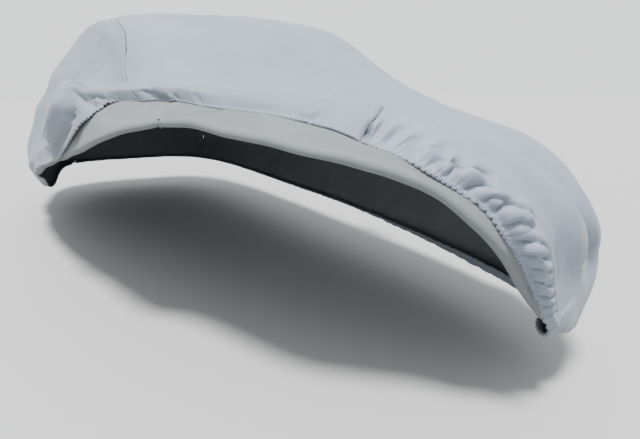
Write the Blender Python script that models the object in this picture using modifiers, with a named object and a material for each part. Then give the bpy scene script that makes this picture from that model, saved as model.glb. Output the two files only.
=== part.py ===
"""A fitted cover for a small hatchback, its front right corner peeled up and folded back twice.

The cover is three cut panels: one top panel that runs from the front hem over bonnet, screen,
roof and tail to the rear hem, and a side panel each for the right and the left. Metres, +Z up,
front of the cover towards -Y. The origin is the point under the roof that the cover rests on.
"""

import math

import bmesh
import bpy
import numpy as np

# --- driving sizes -------------------------------------------------------------------------
CLOTH = 0.002            # thickness of the sheet
SEAM_GAP = 0.0004        # free space between two sewn panels
SEAM_WIDTH = 0.006       # flat strip of cloth on each side of a seam
ROOF_REST_Y = 0.55       # where the roof carries the cover, from the middle of its length
ROOF_REST_Z = 1.440      # height of that point over the ground
BAND_LIFT = 0.030        # the turned band stands this far off the cloth under it
FLAP_LIFT = 0.034        # and the turned flap this far off the band

# --- sections: one row for each level loop, from the tucked hem up to the roof -------------
# y_front and y_rear are the ends of the loop, half is its half width, seam the share of it
# where the panels meet, square its squareness, and the heights z are at the front, the front
# corner, the side, the rear corner and the rear. left is the slack that widens the left half.
SECTION_COLUMNS = ("y_front", "y_rear", "half", "seam", "square",
                   "z_front", "z_corner", "z_side", "z_rear_corner", "z_rear", "left")
SECTIONS = {
    "tuck":      (-1.91, 1.83, 0.800, 0.780, 4.2, 0.230, 0.200, 0.250, 0.270, 0.270, 0.00),
    "hem":       (-1.98, 1.90, 0.870, 0.780, 4.2, 0.235, 0.165, 0.275, 0.300, 0.300, -0.02),
    "skirt":     (-1.96, 1.97, 0.985, 0.780, 4.4, 0.390, 0.400, 0.480, 0.450, 0.480, 0.00),
    "waist":     (-1.97, 1.99, 0.900, 0.800, 4.4, 0.590, 0.555, 0.660, 0.690, 0.700, 0.00),
    "shoulder":  (-1.81, 1.94, 0.860, 0.800, 4.2, 0.780, 0.770, 0.880, 0.920, 0.930, 0.005),
    "bonnet":    (-1.50, 1.84, 0.815, 0.835, 4.2, 0.900, 0.850, 1.020, 1.075, 1.100, 0.01),
    "cowl":      (-1.10, 1.71, 0.730, 0.930, 4.6, 1.000, 1.012, 1.145, 1.185, 1.220, 0.02),
    "screen":    (-0.71, 1.56, 0.638, 0.935, 4.6, 1.238, 1.240, 1.275, 1.305, 1.330, 0.04),
    "roof_edge": (-0.22, 1.38, 0.572, 0.935, 4.6, 1.365, 1.358, 1.396, 1.378, 1.385, 0.055),
    "roof":      (0.06, 1.15, 0.478, 0.935, 4.6, 1.420, 1.410, 1.423, 1.412, 1.410, 0.04),
}
TOP = len(SECTIONS) - 1
ROOF_CROWN = 0.016

# --- the peeled corner: one row for each station along the fold ------------------------------
# around is the place along the hem: -3 and 3 the rear middle, -2 and 2 the rear seams, -1 and 1
# the front seams, 0 the front middle, right side negative. Each station gives the level of the
# lower fold on its own line, the place of the ridge where the cloth turns down again, the
# place of its free hem, how far the fold has opened (0 where the skirt hangs straight), and the
# share of the full lifts by which its layers stand apart, and how far the band bows upwards.
PEEL_COLUMNS = ("around", "fold_level", "ridge_around", "ridge_level",
                "hem_around", "hem_level", "open", "lift", "bow")
PEEL = (
    (-3.20, 1.90, -3.20, 1.10, -3.20, 0.00, 0.0, 0.00, 0.00),
    (-2.00, 1.90, -2.00, 1.10, -2.00, 0.00, 0.0, 0.00, 0.00),
    (-1.93, 1.80, -1.93, 1.10, -1.93, 0.10, 0.1, 0.05, 0.00),
    (-1.86, 1.62, -1.86, 1.25, -1.86, 0.45, 0.5, 0.20, 0.00),
    (-1.80, 1.50, -1.80, 1.52, -1.80, 0.85, 0.9, 0.42, 0.00),
    (-1.74, 1.53, -1.755, 1.85, -1.74, 1.28, 1.0, 0.65, 0.00),
    (-1.68, 1.72, -1.70, 2.15, -1.63, 1.75, 1.0, 0.90, 0.00),
    (-1.62, 1.89, -1.65, 2.43, -1.50, 2.20, 1.0, 1.15, 0.00),
    (-1.56, 1.97, -1.59, 2.69, -1.42, 2.52, 1.0, 1.40, 0.00),
    (-1.50, 2.26, -1.545, 2.97, -1.375, 2.83, 1.0, 1.55, 0.00),
    (-1.45, 2.59, -1.51, 3.24, -1.34, 3.16, 1.0, 1.60, 0.00),
    (-1.40, 2.90, -1.48, 3.50, -1.30, 3.47, 1.0, 1.60, 0.00),
    (-1.35, 3.15, -1.45, 3.78, -1.265, 3.74, 1.0, 1.55, 0.00),
    (-1.31, 3.33, -1.42, 4.05, -1.238, 3.98, 1.0, 1.45, 0.00),
    (-1.27, 3.50, -1.38, 4.38, -1.204, 4.27, 1.0, 1.28, 0.00),
    (-1.235, 3.66, -1.325, 4.80, -1.178, 4.61, 1.0, 1.12, 0.00),
    (-1.20, 3.82, -1.203, 5.18, -1.122, 5.11, 1.0, 1.00, 0.00),
    (-1.165, 4.01, -1.095, 5.59, -1.05, 5.37, 1.0, 1.00, 0.02),
    (-1.13, 4.22, -0.99, 5.72, -0.95, 5.43, 1.0, 1.00, 0.05),
    (-1.06, 4.76, -0.72, 5.43, -0.76, 5.09, 1.0, 1.00, 0.16),
    (-1.03, 4.93, -0.43, 5.03, -0.56, 4.75, 1.0, 1.00, 0.28),
    (-1.00, 5.03, -0.10, 4.62, -0.37, 4.18, 1.0, 1.00, 0.16),
    (-0.92, 4.97, -0.06, 4.56, -0.36, 4.15, 1.0, 1.00, 0.15),
    (-0.83, 4.71, -0.03, 4.51, -0.35, 4.12, 1.0, 1.00, 0.12),
    (-0.65, 4.21, 0.00, 4.29, -0.31, 4.02, 1.0, 1.00, 0.06),
    (-0.50, 4.02, 0.02, 4.16, -0.25, 3.90, 1.0, 1.00, 0.03),
    (-0.31, 3.76, 0.045, 3.95, -0.17, 3.69, 1.0, 1.00, 0.00),
    (-0.16, 3.51, 0.085, 3.75, -0.10, 3.51, 1.0, 1.00, 0.00),
    (-0.02, 3.06, 0.16, 3.39, 0.01, 3.20, 1.0, 1.00, 0.00),
    (0.04, 2.86, 0.21, 3.18, 0.05, 2.98, 1.0, 1.00, 0.00),
    (0.13, 2.55, 0.245, 2.78, 0.12, 2.71, 1.0, 1.00, 0.00),
    (0.24, 2.08, 0.315, 2.33, 0.22, 2.30, 1.0, 0.90, 0.00),
    (0.31, 1.75, 0.36, 1.97, 0.295, 1.88, 1.0, 0.80, 0.00),
    (0.38, 1.50, 0.405, 1.70, 0.36, 1.54, 1.0, 0.62, 0.00),
    (0.44, 1.42, 0.45, 1.54, 0.43, 1.27, 1.0, 0.45, 0.00),
    (0.50, 1.43, 0.50, 1.40, 0.50, 0.95, 0.8, 0.28, 0.00),
    (0.58, 1.58, 0.58, 1.25, 0.58, 0.55, 0.4, 0.12, 0.00),
    (0.70, 1.80, 0.70, 1.10, 0.70, 0.00, 0.0, 0.00, 0.00),
    (3.20, 1.90, 3.20, 1.10, 3.20, 0.00, 0.0, 0.00, 0.00),
)

# --- folds and bulges of the hanging cloth: a row for each ----------------------------------
# Each runs from one place (around, level) to another, with its half width and its height.
FOLD_COLUMNS = ("around_a", "level_a", "around_b", "level_b", "width", "height")
FOLDS = {
    "rear_lobe": (-1.83, 3.30, -1.82, 1.00, 0.160, 0.077),
    "corner_lobe": (0.96, 1.60, 0.98, 0.90, 0.140, 0.016),
    "mirror_right": (-1.31, 4.55, -1.29, 4.50, 0.140, 0.055),
    "mirror_left": (1.31, 4.60, 1.29, 4.55, 0.120, 0.080),
    "valley_right": (-1.46, 4.50, -1.72, 2.20, 0.090, -0.035),
    "corner_ridge": (1.10, 4.30, 1.09, 1.80, 0.060, 0.030),
    "corner_valley": (1.00, 4.45, 1.03, 2.00, 0.030, -0.018),
    "corner_soft_a": (0.60, 4.20, 0.72, 2.60, 0.040, -0.012),
    "corner_soft_b": (0.66, 2.80, 0.76, 2.00, 0.035, -0.012),
}

# --- puffs of the turned flap above its elastic hem: a row for each --------------------------
# around is the station, share is 0 at the hem and 1 at the ridge.
PUFF_COLUMNS = ("around", "share", "half_length", "half_width", "height")
PUFFS = (
    (-1.24, 0.35, 0.050, 0.30, 0.014),
    (-1.14, 0.30, 0.030, 0.30, 0.012),
    (-1.085, 0.40, 0.022, 0.35, 0.012),
    (-1.045, 0.35, 0.014, 0.30, 0.010),
    (-1.015, 0.30, 0.010, 0.30, 0.010),
    (-0.93, 0.30, 0.045, 0.35, 0.010),
    (-0.76, 0.30, 0.050, 0.35, 0.013),
    (-0.58, 0.35, 0.050, 0.35, 0.014),
    (-0.42, 0.40, 0.050, 0.40, 0.018),
    (-0.28, 0.30, 0.040, 0.35, 0.016),
    (-0.16, 0.40, 0.040, 0.40, 0.020),
    (-0.05, 0.35, 0.035, 0.35, 0.020),
    (0.03, 0.50, 0.030, 0.45, 0.026),
    (0.115, 0.40, 0.030, 0.40, 0.020),
    (0.19, 0.50, 0.025, 0.45, 0.024),
    (0.265, 0.40, 0.022, 0.45, 0.018),
    (0.33, 0.40, 0.020, 0.45, 0.016),
)

# --- how finely the cloth is drawn -----------------------------------------------------------
FLAP_ROWS = 4
TURN_ROWS = 2
BAND_ROWS = 8
TURNED_ROWS = FLAP_ROWS + BAND_ROWS + 2 + 2 * TURN_ROWS
MAIN_ROWS = 12
FRONT_COLUMNS = 22       # across the top panel, doubled in the turned rows, halved on the roof
SIDE_COLUMNS = 26        # along a side panel, doubled in the turned rows on the right
EDGE_LEVEL = 0.045       # the last row of a skirt is this far, in levels, below the roof


def column_of(table, columns, name):
    """One named column of a table as an array."""
    rows = table.values() if isinstance(table, dict) else table
    return np.array([row[columns.index(name)] for row in rows], dtype=float)


SEC = {name: column_of(SECTIONS, SECTION_COLUMNS, name) for name in SECTION_COLUMNS}
PEEL_AT = {name: column_of(PEEL, PEEL_COLUMNS, name) for name in PEEL_COLUMNS}


def ease(t):
    t = np.clip(t, 0.0, 1.0)
    return t * t * (3.0 - 2.0 * t)


def through(x, xs, ys):
    """Smooth curve through the points (xs, ys), kept from overshooting."""
    x = np.clip(np.asarray(x, dtype=float), xs[0], xs[-1])
    step = np.diff(xs)
    slope = np.diff(ys) / step
    tangent = np.zeros(len(xs))
    inner = slope[:-1] * slope[1:] > 0.0
    mean = 2.0 * slope[:-1] * slope[1:] / np.where(inner, slope[:-1] + slope[1:], 1.0)
    tangent[1:-1] = np.where(inner, mean, 0.0)
    tangent[0] = slope[0]
    tangent[-1] = slope[-1]
    i = np.clip(np.searchsorted(xs, x, side="right") - 1, 0, len(step) - 1)
    h = step[i]
    t = (x - xs[i]) / h
    return ((2 * t**3 - 3 * t**2 + 1) * ys[i] + (t**3 - 2 * t**2 + t) * h * tangent[i]
            + (3 * t**2 - 2 * t**3) * ys[i + 1] + (t**3 - t**2) * h * tangent[i + 1])


# --- the draped body -------------------------------------------------------------------------
def loop_points(around, k):
    """Points of level loop k at the places around it."""
    side = np.where(around < 0.0, -1.0, 1.0)
    place = np.abs(around)
    half = SEC["half"][k]
    power = SEC["square"][k]
    middle = (SEC["y_front"][k] + SEC["y_rear"][k]) / 2.0
    length = (SEC["y_rear"][k] - SEC["y_front"][k]) / 2.0
    x_seam = SEC["seam"][k] * half
    y_seam = length * (1.0 - SEC["seam"][k] ** power) ** (1.0 / power)
    front = place <= 1.0
    rear = place > 2.0
    across = np.where(front, place, np.where(rear, 3.0 - place, 0.0))
    along = y_seam * (2.0 * np.clip(place - 1.0, 0.0, 1.0) - 1.0)
    x_end = across * x_seam
    y_end = length * (1.0 - np.abs(x_end / half) ** power) ** (1.0 / power)
    x_side = half * (1.0 - np.abs(along / length) ** power) ** (1.0 / power)
    x = np.where(front | rear, x_end, x_side)
    y = middle + np.where(front, -y_end, np.where(rear, y_end, along))
    t = np.clip(place - 1.0, 0.0, 1.0)
    z_front = SEC["z_front"][k] + (SEC["z_corner"][k] - SEC["z_front"][k]) * np.abs(across) ** 2.5
    z_rear = SEC["z_rear"][k] + (SEC["z_rear_corner"][k] - SEC["z_rear"][k]) * np.abs(across) ** 2.5
    z_a = SEC["z_corner"][k] + (SEC["z_side"][k] - SEC["z_corner"][k]) * ease(2.0 * t)
    z_b = (SEC["z_rear_corner"][k] - SEC["z_side"][k]) * ease(2.0 * t - 1.0)
    z = np.where(front, z_front, np.where(rear, z_rear, z_a + z_b))
    slack = np.where(side > 0, SEC["left"][k] * ease(x / half), 0.0)
    return np.stack([x * side + slack, y, z], axis=-1)


def drape(around, level):
    """Points of the plain draped body at arrays of places (around, level)."""
    around, level = np.broadcast_arrays(np.asarray(around, float), np.asarray(level, float))
    level = np.clip(level, 0.0, TOP - 1e-9)
    low = np.floor(level).astype(int)
    t = (level - low)[..., None]
    loops = np.stack([loop_points(around, k) for k in range(TOP + 1)])

    def at(k):
        inside = np.clip(k, 0, TOP)
        return np.take_along_axis(loops, inside[None, ..., None], axis=0)[0]

    p1, p2 = at(low), at(low + 1)
    p0 = np.where((low > 0)[..., None], at(low - 1), 2.0 * p1 - p2)
    p3 = np.where((low + 2 <= TOP)[..., None], at(low + 2), 2.0 * p2 - p1)
    return 0.5 * (2 * p1 + (p2 - p0) * t + (2 * p0 - 5 * p1 + 4 * p2 - p3) * t**2
                  + (3 * p1 - p0 - 3 * p2 + p3) * t**3)


def outward(around, level):
    """Unit normals of the plain draped body."""
    around, level = np.broadcast_arrays(np.asarray(around, float), np.asarray(level, float))
    step = 0.01
    level = np.clip(level, step, TOP - 2 * step)
    along = drape(around + step, level) - drape(around - step, level)
    up = drape(around, level + step) - drape(around, level - step)
    normal = np.cross(along, up)
    length = np.linalg.norm(normal, axis=-1, keepdims=True)
    return normal / np.maximum(length, 1e-12)


def fold_height(points):
    """How far the folds and bulges stand out of the draped body at the given points."""
    height = np.zeros(points.shape[:-1])
    for a_around, a_level, b_around, b_level, width, rise in FOLDS.values():
        ends = drape([a_around, b_around], [a_level, b_level])
        run = ends[1] - ends[0]
        share = ((points - ends[0]) @ run) / max(float(run @ run), 1e-9)
        near = ends[0] + np.clip(share, 0.0, 1.0)[..., None] * run
        away = np.linalg.norm(points - near, axis=-1)
        height += rise * np.exp(-((away / width) ** 2))
    return height


def cloth_at(around, level, lift):
    """Points of the cloth: the draped body with its folds, raised by lift."""
    body = drape(around, level)
    rise = (fold_height(body) + lift)[..., None]
    return body + outward(around, level) * rise


# --- the skirt with its peeled corner ----------------------------------------------------------
def puff_height(around, share):
    height = np.zeros(np.broadcast(around, share).shape)
    for place, at, half_length, half_width, rise in PUFFS:
        wave = np.exp(-((around - place) / half_length) ** 2 - ((share - at) / half_width) ** 2)
        height += rise * wave
    return height


def peel_place(around):
    """The peel table's columns at any places around, with the places themselves."""
    at = {name: through(around, PEEL_AT["around"], PEEL_AT[name]) for name in PEEL_COLUMNS[1:]}
    at["around"] = around
    return at


def between(start, end, share):
    """Places between two places around the cover, even in length round its front corners."""
    def stretched(place):
        return place + 4.0 * np.sign(place) * np.maximum(np.abs(place) - 1.0, 0.0)

    mixed = stretched(start) + (stretched(end) - stretched(start)) * share
    return mixed - 0.8 * np.sign(mixed) * np.maximum(np.abs(mixed) - 1.0, 0.0)


def fold_line_at(around):
    """Points of the lower fold's line and of the ridge's line."""
    at = peel_place(around)
    return (cloth_at(around, at["fold_level"], 0.0),
            cloth_at(at["ridge_around"], at["ridge_level"], 0.0))


def turned_edge(line, along, normal, inward, lift_from, lift_to, turns):
    """Rows of a turned edge: half a circle, away from inward, from one lift to the other."""
    out = np.cross(along, normal)
    out /= np.maximum(np.linalg.norm(out, axis=-1, keepdims=True), 1e-9)
    sign = np.sign(np.sum(out * inward, axis=-1, keepdims=True))
    out = -out * np.where(sign == 0.0, 1.0, sign)
    radius = ((lift_to - lift_from) / 2.0)[:, None]
    middle = ((lift_to + lift_from) / 2.0)[:, None]
    rows = []
    for turn in turns:
        angle = math.pi * turn
        rows.append(line + normal * (middle - radius * math.cos(angle))
                    + out * np.abs(radius) * math.sin(angle))
    return rows


def flap_rows(at, band, flap):
    """Rows of the flap, from its puffed elastic hem to the ridge."""
    rows = []
    for share in np.linspace(0.0, 1.0, FLAP_ROWS + 1):
        place = between(at["hem_around"], at["ridge_around"], share)
        level = at["hem_level"] + (at["ridge_level"] - at["hem_level"]) * share
        close = 0.35 + 0.65 * ease(share * 2.5)
        puff = puff_height(at["around"], share) * at["lift"] * (1.0 - share**3)
        rows.append(cloth_at(place, level, band + flap * close + puff))
    return rows


def band_rows(at, band):
    """Rows of the band, from the ridge down to the lower fold."""
    rows = []
    for share in np.linspace(0.0, 1.0, BAND_ROWS + 1):
        place = between(at["ridge_around"], at["around"], share)
        level = at["ridge_level"] + (at["fold_level"] - at["ridge_level"]) * share
        level = level + at["bow"] * 4.0 * share * (1.0 - share)
        rows.append(cloth_at(place, level, band))
    return rows


def folded_rows(around):
    """Rows of the cloth as it lies folded: flap, ridge, band and lower fold."""
    at = peel_place(around)
    band = BAND_LIFT * at["lift"]
    flap = FLAP_LIFT * at["lift"]
    fold_line, ridge_line = fold_line_at(around)
    step = 0.003
    fold_ahead, ridge_ahead = fold_line_at(around + step)
    fold_behind, ridge_behind = fold_line_at(around - step)
    to_main = cloth_at(around, at["fold_level"] + 0.3, 0.0) - fold_line
    fold_normal = outward(around, at["fold_level"])
    ridge_normal = outward(at["ridge_around"], at["ridge_level"])
    turns = [(k + 0.5) / TURN_ROWS for k in range(TURN_ROWS)]
    ridge = turned_edge(ridge_line, ridge_ahead - ridge_behind, ridge_normal,
                        fold_line - ridge_line, band + flap, band, turns)
    fold = turned_edge(fold_line, fold_ahead - fold_behind, fold_normal,
                       to_main, band, 0.0 * band, turns)
    return flap_rows(at, band, flap) + ridge + band_rows(at, band) + fold


def skirt(around):
    """Points of the cloth from its hem up to the edge of the roof: one row of points for each
    row of the skirt, with a point for each of the columns around.

    The rows run from the hem over the flap to the ridge, round the ridge, back down the band,
    round the lower fold, and up the body. Where the skirt hangs straight they lie in line.
    """
    at = peel_place(around)
    folded = folded_rows(around)
    rows = []
    for k, points in enumerate(folded):
        plain = cloth_at(around, at["fold_level"] * k / len(folded), 0.0)
        rows.append(plain + (points - plain) * at["open"][:, None])
    for share in np.linspace(0.0, 1.0, MAIN_ROWS, endpoint=False):
        level = at["fold_level"] + (TOP - at["fold_level"]) * share
        rows.append(cloth_at(around, level, 0.0))
    rows.append(cloth_at(around, TOP - EDGE_LEVEL, 0.0))
    rows.append(cloth_at(around, TOP, 0.0))
    return np.array(rows)


def even_columns(start, end, count):
    """Places from start to end, evenly spaced by the mean length of the skirt's own lines."""
    fine = np.linspace(start, end, 400)
    rows = skirt(fine)[[0, FLAP_ROWS, TURNED_ROWS, -1]]
    step = np.linalg.norm(np.diff(rows, axis=1), axis=-1).mean(axis=0)
    length = np.concatenate([[0.0], np.cumsum(step)])
    return np.interp(np.linspace(0.0, length[-1], count + 1), length, fine)


# --- the roof ----------------------------------------------------------------------------------
def roof(across, along):
    """Points of the roof between its four edges; across is -1 to 1, along 0 (front) to 1."""
    front = cloth_at(across, TOP, 0.0)
    rear = cloth_at(np.where(across < 0.0, -1.0, 1.0) * (3.0 - np.abs(across)), TOP, 0.0)
    right = cloth_at(-1.0 - along, TOP, 0.0)
    left = cloth_at(1.0 + along, TOP, 0.0)
    s = ((across + 1.0) / 2.0)[None, :, None]
    t = along[:, None, None]
    corners = ((1 - s) * (1 - t) * front[0] + s * (1 - t) * front[-1]
               + (1 - s) * t * rear[0] + s * t * rear[-1])
    points = ((1 - t) * front[None] + t * rear[None] + (1 - s) * right[:, None]
              + s * left[:, None] - corners)
    points[..., 2] += ROOF_CROWN * 4.0 * (t * (1 - t))[..., 0] * (1.0 - across**2)[None, :]
    return points


# --- the seams -----------------------------------------------------------------------------------
def unit(vectors):
    return vectors / np.maximum(np.linalg.norm(vectors, axis=-1, keepdims=True), 1e-12)


def square_to(vectors, line):
    """Unit vectors at the points of line, turned square to the line itself."""
    along = unit(np.gradient(line, axis=0))
    return unit(vectors - np.sum(vectors * along, axis=-1, keepdims=True) * along)


def column_seam(place):
    """Points of the seam in the column at place, and unit vectors across it to larger places."""
    step = 0.004
    behind, line, ahead = skirt(np.array([place - step, place, place + step])).transpose(1, 0, 2)
    return line, square_to(ahead - behind, line)


def rail_seam(side, along):
    """Points of the seam along the roof's edge, and unit vectors across it into the roof."""
    line = cloth_at(side * (1.0 + along), TOP, 0.0)
    low = cloth_at(side * (1.0 + along), TOP - 0.06, 0.0)
    near = roof(np.array([-1.0, -0.98, 0.98, 1.0]), along)[:, 1 if side < 0 else 2]
    return line, square_to(near - low, line)


def seams_of(side):
    """The three seams of a side panel: its front column, its rear column and the roof's edge.

    Each is its points and the unit vectors across it, away from the side panel. Where two seams
    meet they share one vector.
    """
    rail, over = rail_seam(side, rail_places())
    found = []
    for place, end, way in ((side, 0, -side), (2.0 * side, -1, side)):
        line, across = column_seam(place)
        across = across * way
        across[-1] = over[end] = unit(across[-1] + over[end])
        found.append((line, across))
    return found[0], found[1], (rail, over)


def rail_places():
    """Shares along the roof's edge at which the columns of a side panel end, front to rear."""
    middle = -1.0 - even_columns(-1.0, -2.0, SIDE_COLUMNS)[1:-1]
    return np.concatenate([[0.0, SEAM_WIDTH], middle, [1.0 - SEAM_WIDTH, 1.0]])


# --- panels: rows of points, each with the ids of its columns --------------------------------------
def side_rows(side):
    """Rows of a side panel from its hem to the roof, its columns from front to rear."""
    along = rail_places()
    places = side * (1.0 + along)
    ids = np.concatenate([[0.0, 0.5], 2.0 * np.arange(1, SIDE_COLUMNS),
                          [2.0 * SIDE_COLUMNS - 0.5, 2.0 * SIDE_COLUMNS]])
    last = len(along) - 1
    if side < 0:
        places = np.concatenate([places, 0.5 * (places[2:-3] + places[3:-2])])
        ids = np.concatenate([ids, 2.0 * np.arange(1, SIDE_COLUMNS - 1) + 1.0])
    points = skirt(places)
    front, rear, rail = seams_of(side)
    points[-1, 1:last] = (rail[0] - rail[1] * SEAM_GAP / 2.0)[1:-1]
    points[-2, 1:last] = (rail[0] - rail[1] * SEAM_WIDTH)[1:-1]
    for edge, strip, (line, across) in ((0, 1, front), (last, last - 1, rear)):
        points[:, edge] = line - across * SEAM_GAP / 2.0
        points[:-2, strip] = (line - across * SEAM_WIDTH)[:-2]
        points[-2, strip] = line[-1] - across[-1] * SEAM_WIDTH
    rows = []
    for k, row in enumerate(points):
        fine = side < 0 and k < TURNED_ROWS
        keep = np.arange(len(ids)) if fine else np.arange(last + 1)
        order = keep[np.argsort(ids[keep])]
        rows.append((ids[order], row[order]))
    return rows


def top_rows():
    """Rows of the top panel from the front hem over the roof to the rear hem."""
    across = even_columns(-1.0, 1.0, FRONT_COLUMNS)
    places = np.concatenate([across, 0.5 * (across[1:-2] + across[2:-1])])
    coarse_ids = 2.0 * np.arange(FRONT_COLUMNS + 1)
    ids = np.concatenate([coarse_ids, coarse_ids[1:-2] + 1.0])
    end = coarse_ids[-1]
    right, left = seams_of(-1.0), seams_of(1.0)
    rows = []
    for k, row in enumerate(skirt(places)):
        keep = slice(None) if k < TURNED_ROWS else slice(0, FRONT_COLUMNS + 1)
        rows.append(with_seams(ids[keep], row[keep], end, right[0], left[0], k))
    coarse = across[::2]
    points = roof(coarse, rail_places())
    for k in range(1, len(points) - 1):
        rows.append(with_seams(coarse_ids[::2], points[k], end, right[2], left[2], k))
    rear = skirt(np.where(coarse < 0.0, -1.0, 1.0) * (3.0 - np.abs(coarse)))
    for k in range(len(rear) - 1, -1, -1):
        rows.append(with_seams(coarse_ids[::2], rear[k], end, right[1], left[1], k))
    return rows


def with_seams(ids, points, end, right, left, k):
    """A row of the top panel with its two seam edges and the flat strips beside them."""
    order = np.argsort(ids)
    first = [right[0][k] + right[1][k] * offset for offset in (SEAM_GAP / 2.0, SEAM_WIDTH)]
    final = [left[0][k] + left[1][k] * offset for offset in (SEAM_WIDTH, SEAM_GAP / 2.0)]
    ids = np.concatenate([[0.0, 0.5], ids[order][1:-1], [end - 0.5, end]])
    return ids, np.concatenate([first, points[order][1:-1], final])


# --- meshes -----------------------------------------------------------------------------------------
def join_rows(bm, low, high):
    """Faces between two rows of vertices, a fan wherever one row has more columns."""
    (low_ids, low_verts), (high_ids, high_verts) = low, high
    shared = [k for k in low_ids if k in set(high_ids)]
    for start, end in zip(shared[:-1], shared[1:]):
        a = [v for k, v in zip(low_ids, low_verts) if start <= k <= end]
        b = [v for k, v in zip(high_ids, high_verts) if start <= k <= end]
        if len(a) == len(b):
            for i in range(len(a) - 1):
                bm.faces.new((a[i], a[i + 1], b[i + 1], b[i]))
        elif len(a) > len(b):
            fan(bm, a, b, False)
        else:
            fan(bm, b, a, True)


def fan(bm, many, few, turned):
    """Triangles between a row of many vertices and the two vertices of few."""
    middle = (len(many) - 1) // 2
    for i in range(len(many) - 1):
        corner = few[0] if i < middle else few[-1]
        face = (many[i], many[i + 1], corner)
        bm.faces.new(face[::-1] if turned else face)
    face = (many[middle], few[-1], few[0])
    bm.faces.new(face[::-1] if turned else face)


def panel(name, rows, turned, colour, collection):
    """One cut panel: an open sheet through its rows, given its thickness by Solidify."""
    origin = np.array([0.0, ROOF_REST_Y, ROOF_REST_Z])
    bm = bmesh.new()
    lines = []
    for ids, points in rows:
        lines.append((list(ids), [bm.verts.new(tuple(p - origin)) for p in points]))
    for low, high in zip(lines[:-1], lines[1:]):
        join_rows(bm, low, high)
    if turned:
        bmesh.ops.reverse_faces(bm, faces=bm.faces[:])
    mesh = bpy.data.meshes.new(name)
    bm.to_mesh(mesh)
    bm.free()
    mesh.shade_smooth()
    body = bpy.data.objects.new(name, mesh)
    collection.objects.link(body)
    mesh.materials.append(cloth_material(name + "_cloth", colour))
    thick = body.modifiers.new("thickness", "SOLIDIFY")
    thick.thickness = CLOTH
    thick.offset = 0.0
    return body


def cloth_material(name, colour):
    material = bpy.data.materials.new(name)
    material.use_nodes = True
    shader = material.node_tree.nodes["Principled BSDF"]
    shader.inputs["Base Color"].default_value = (*colour, 1.0)
    shader.inputs["Roughness"].default_value = 0.85
    shader.inputs["Metallic"].default_value = 0.0
    return material


def main():
    for old in list(bpy.data.objects):
        bpy.data.objects.remove(old, do_unlink=True)
    collection = bpy.data.collections.new("car_cover")
    bpy.context.scene.collection.children.link(collection)
    panel("top_panel", top_rows(), False, (0.47, 0.52, 0.60), collection)
    panel("side_panel_right", side_rows(-1.0), True, (0.41, 0.45, 0.50), collection)
    panel("side_panel_left", side_rows(1.0), False, (0.43, 0.47, 0.52), collection)


main()
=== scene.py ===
# %% [markdown]
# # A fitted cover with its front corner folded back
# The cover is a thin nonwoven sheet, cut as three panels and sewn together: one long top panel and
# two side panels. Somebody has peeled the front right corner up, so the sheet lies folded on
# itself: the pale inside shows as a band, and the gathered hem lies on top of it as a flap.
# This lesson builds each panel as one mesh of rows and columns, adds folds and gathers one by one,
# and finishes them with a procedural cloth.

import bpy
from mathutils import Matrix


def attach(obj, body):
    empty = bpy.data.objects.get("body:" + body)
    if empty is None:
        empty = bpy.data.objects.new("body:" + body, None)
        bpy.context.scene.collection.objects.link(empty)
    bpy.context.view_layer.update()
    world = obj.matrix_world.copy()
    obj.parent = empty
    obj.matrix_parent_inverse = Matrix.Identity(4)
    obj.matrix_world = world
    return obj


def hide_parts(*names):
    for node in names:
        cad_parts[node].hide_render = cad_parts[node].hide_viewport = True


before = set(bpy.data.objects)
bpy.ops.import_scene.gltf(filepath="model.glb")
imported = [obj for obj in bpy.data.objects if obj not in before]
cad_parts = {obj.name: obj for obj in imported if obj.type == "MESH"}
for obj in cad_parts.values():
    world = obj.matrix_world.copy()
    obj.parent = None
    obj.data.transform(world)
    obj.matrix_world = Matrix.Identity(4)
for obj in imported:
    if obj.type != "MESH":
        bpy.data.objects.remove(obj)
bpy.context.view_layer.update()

# %% Modules
import math

import bpy
import numpy as np
from mathutils import Matrix, Vector

# %% [markdown]
# ## The body under the cloth
# A cover takes the outline of what it lies on. Ten level loops, from the tucked hem up to the
# roof, describe that outline: each has its two ends, its half width, where the seams cross it, how
# square it is, its height at five places and how far its left side hangs out. A scan would also
# work, but loops keep the sizes readable and let the seams follow the same places all the way up.

# %% Level loops from the hem to the roof
REST = np.array([0.0, 0.55, 1.440])
SECTION_COLUMNS = ("y_front", "y_rear", "half", "seam", "square",
                   "z_front", "z_corner", "z_side", "z_rear_corner", "z_rear", "left")
SECTIONS = {
    "tuck":      (-1.91, 1.83, 0.800, 0.780, 4.2, 0.230, 0.200, 0.250, 0.270, 0.270, 0.00),
    "hem":       (-1.98, 1.90, 0.870, 0.780, 4.2, 0.235, 0.165, 0.275, 0.300, 0.300, -0.02),
    "skirt":     (-1.96, 1.97, 0.985, 0.780, 4.4, 0.390, 0.400, 0.480, 0.450, 0.480, 0.00),
    "waist":     (-1.97, 1.99, 0.900, 0.800, 4.4, 0.590, 0.555, 0.660, 0.690, 0.700, 0.00),
    "shoulder":  (-1.81, 1.94, 0.860, 0.800, 4.2, 0.780, 0.770, 0.880, 0.920, 0.930, 0.005),
    "bonnet":    (-1.50, 1.84, 0.815, 0.835, 4.2, 0.900, 0.850, 1.020, 1.075, 1.100, 0.01),
    "cowl":      (-1.10, 1.71, 0.730, 0.930, 4.6, 1.000, 1.012, 1.145, 1.185, 1.220, 0.02),
    "screen":    (-0.71, 1.56, 0.638, 0.935, 4.6, 1.238, 1.240, 1.275, 1.305, 1.330, 0.04),
    "roof_edge": (-0.22, 1.38, 0.572, 0.935, 4.6, 1.365, 1.358, 1.396, 1.378, 1.385, 0.055),
    "roof":      (0.06, 1.15, 0.478, 0.935, 4.6, 1.420, 1.410, 1.423, 1.412, 1.410, 0.04),
}
TOP = len(SECTIONS) - 1
ROOF_CROWN = 0.016

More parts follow.
